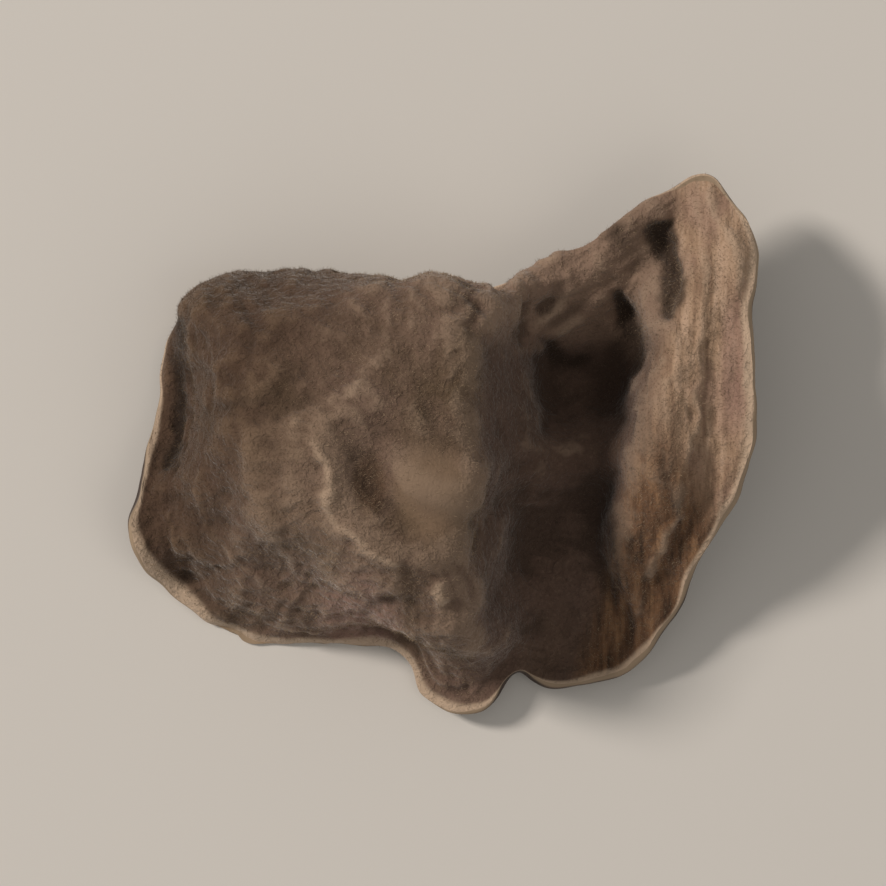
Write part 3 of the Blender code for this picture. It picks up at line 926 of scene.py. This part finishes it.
def grown_hairs(ground):
    """The hairs of the outer side as one plain mesh."""
    tree = hair_tree(dried_hair())
    modifier = ground.modifiers.new("felt_hairs", "NODES")
    modifier.node_group = tree
    inputs = {s.name: s.identifier for s in tree.interface.items_tree if s.in_out == "INPUT"}
    for name, value in (
        ("Hairs per square metre", HAIRS_PER_SQUARE_MM / MM**2),
        ("Shortest", HAIR_LENGTH[0] * MM), ("Longest", HAIR_LENGTH[1] * MM),
        ("Width", HAIR_WIDTH * MM), ("Lean", HAIR_LEAN), ("Seed", HAIR_SEEDS["places"]),
    ):
        modifier[inputs[name]] = value
    graph = bpy.context.evaluated_depsgraph_get()
    mesh = bpy.data.meshes.new_from_object(ground.evaluated_get(graph), depsgraph=graph)
    ground.modifiers.remove(modifier)
    mesh.name = "felt_hairs"
    hairs = bpy.data.objects.new("felt_hairs", mesh)
    bpy.context.scene.collection.objects.link(hairs)
    return hairs


# ---------------------------------------------------------------- the studio


def plain_floor():
    """A pale matte sheet of card under the ear."""
    bpy.ops.mesh.primitive_plane_add(size=FLOOR["size"], location=(0, 0, 0))
    floor = bpy.context.object
    floor.name = "floor"
    card, tree = new_material("pale_card")
    shader = tree.nodes["Principled BSDF"]
    shader.inputs["Base Color"].default_value = linear(FLOOR["colour"])
    shader.inputs["Roughness"].default_value = FLOOR["roughness"]
    floor.data.materials.append(card)


def soft_light(name, place, size, power, colour):
    """A square soft box that faces the ear."""
    light = bpy.data.lights.new(name, "AREA")
    light.size = size
    light.energy = power
    light.color = linear(colour)[:3]
    made = bpy.data.objects.new(name, light)
    made.location = place
    made.rotation_euler = (-Vector(place)).to_track_quat("-Z", "Y").to_euler()
    bpy.context.scene.collection.objects.link(made)


def studio():
    """A key light, a soft fill, and pale surroundings."""
    soft_light("key", **KEY_LIGHT)
    soft_light("fill", **FILL_LIGHT)
    world = bpy.data.worlds.new("studio")
    world.use_nodes = True
    background = world.node_tree.nodes["Background"]
    background.inputs["Color"].default_value = linear(SURROUNDINGS["colour"])
    background.inputs["Strength"].default_value = SURROUNDINGS["strength"]
    bpy.context.scene.world = world
    bpy.context.scene.view_settings.view_transform = "Standard"


def camera_above():
    """Looks straight down, from so far above that there is no perspective to see."""
    low, high = cad_box
    camera = bpy.data.cameras.new("camera")
    camera.sensor_width = SENSOR_WIDTH
    width_seen = (high[0] - low[0]) / SHARE_OF_FRAME
    camera.lens = camera.sensor_width * CAMERA_HEIGHT / width_seen
    camera.clip_start = NEAREST_SEEN
    made = bpy.data.objects.new("camera", camera)
    made.location = (0, 0, CAMERA_HEIGHT + high[2] / 2)
    bpy.context.scene.collection.objects.link(made)
    bpy.context.scene.camera = made


# ---------------------------------------------------------------- the ear


def dried_ear(node):
    """The ear's sheet, with felt on its outer side and skin on its inner side."""
    points, faces, outer, values = ear_sheet(node)
    ear = mesh_object("ear_sheet", points, faces, values)
    ear.data.materials.append(dried_felt())
    ear.data.materials.append(dried_skin())
    felt, skin = 0, 1
    ear.data.polygons.foreach_set("material_index", np.where(outer, felt, skin))
    return ear


ear = dried_ear(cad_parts["fruit_body"])
hairs = grown_hairs(ear)
for piece in (ear, hairs):
    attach(piece, "root")
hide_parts("fruit_body")

plain_floor()
studio()
camera_above()
